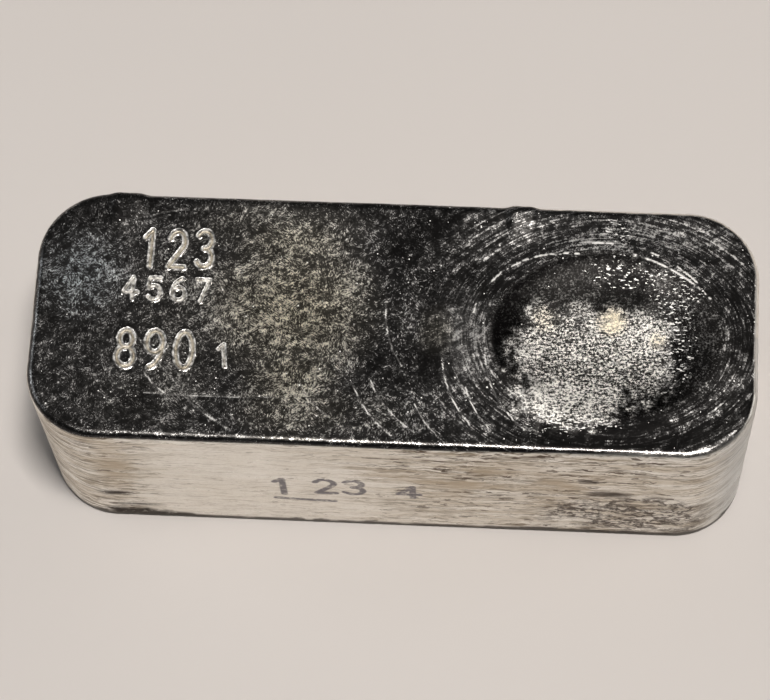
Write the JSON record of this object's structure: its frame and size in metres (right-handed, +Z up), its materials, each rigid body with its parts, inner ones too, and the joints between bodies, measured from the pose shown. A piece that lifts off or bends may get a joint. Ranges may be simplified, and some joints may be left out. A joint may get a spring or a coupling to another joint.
{
  "type": "tin ingot",
  "caption": "Small cast metal ingot: drafted block with round corners, rippled as-cast open face with a shallow shrinkage hollow, rounded rim and flat base",
  "frame": {"origin": "middle of the flat base, which is the bottom centre of the bounding box", "axes": "+X along the length, with the shrinkage hollow at the +X end; +Y across the width, towards the rim with the overflow beads; +Z up, out of the open face"},
  "size_m": [0.1032, 0.038, 0.0348],
  "materials": {
    "tin": "as-cast, satin walls and a bright open face"
  },
  "bodies": {
    "root": {"ingot": "tin"}
  },
  "joints": []
}
